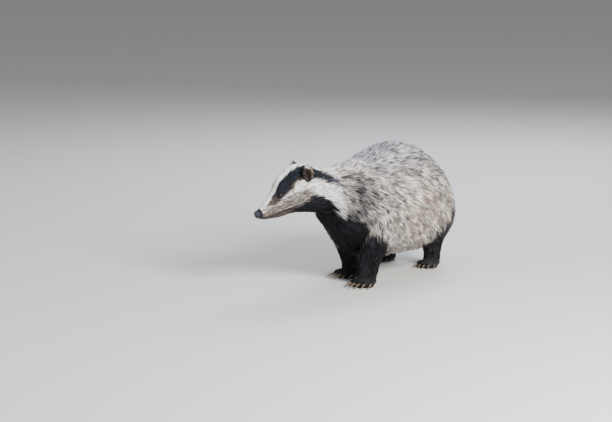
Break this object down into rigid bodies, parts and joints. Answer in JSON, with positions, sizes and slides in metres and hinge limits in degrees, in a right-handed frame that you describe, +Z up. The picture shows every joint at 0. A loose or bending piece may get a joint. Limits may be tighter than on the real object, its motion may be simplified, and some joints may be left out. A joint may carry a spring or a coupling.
{
  "type": "european badger",
  "caption": "Life-size still model of a European badger standing with its head turned and lowered, with striped face, grizzled coat and long claws.",
  "frame": {"origin": "middle of the bounding box at the level of the soles", "axes": "+Z up, the badger's trunk faces -Y, its left side is at +X"},
  "size_m": [0.2402, 0.6184, 0.2835],
  "materials": {
    "body_coat": "long coarse grizzled fur",
    "neck_coat": "long coarse fur, pale above and black below",
    "face_coat": "short white fur with a black stripe on each side",
    "nose_skin": "moist black skin",
    "tail_coat": "long pale grey fur",
    "eyes": "wet black",
    "ear_coat": "short black fur with a white rim",
    "leg_coat": "black fur with long pale brown claws"
  },
  "bodies": {
    "root": {"torso": "body_coat", "neck": "neck_coat", "head": "face_coat", "nose": "nose_skin", "tail": "tail_coat", "eye_left": "eyes", "eye_right": "eyes", "ear_left": "ear_coat", "ear_right": "ear_coat", "front_leg_left": "leg_coat", "front_leg_right": "leg_coat", "hind_leg_left": "leg_coat", "hind_leg_right": "leg_coat"}
  },
  "joints": []
}
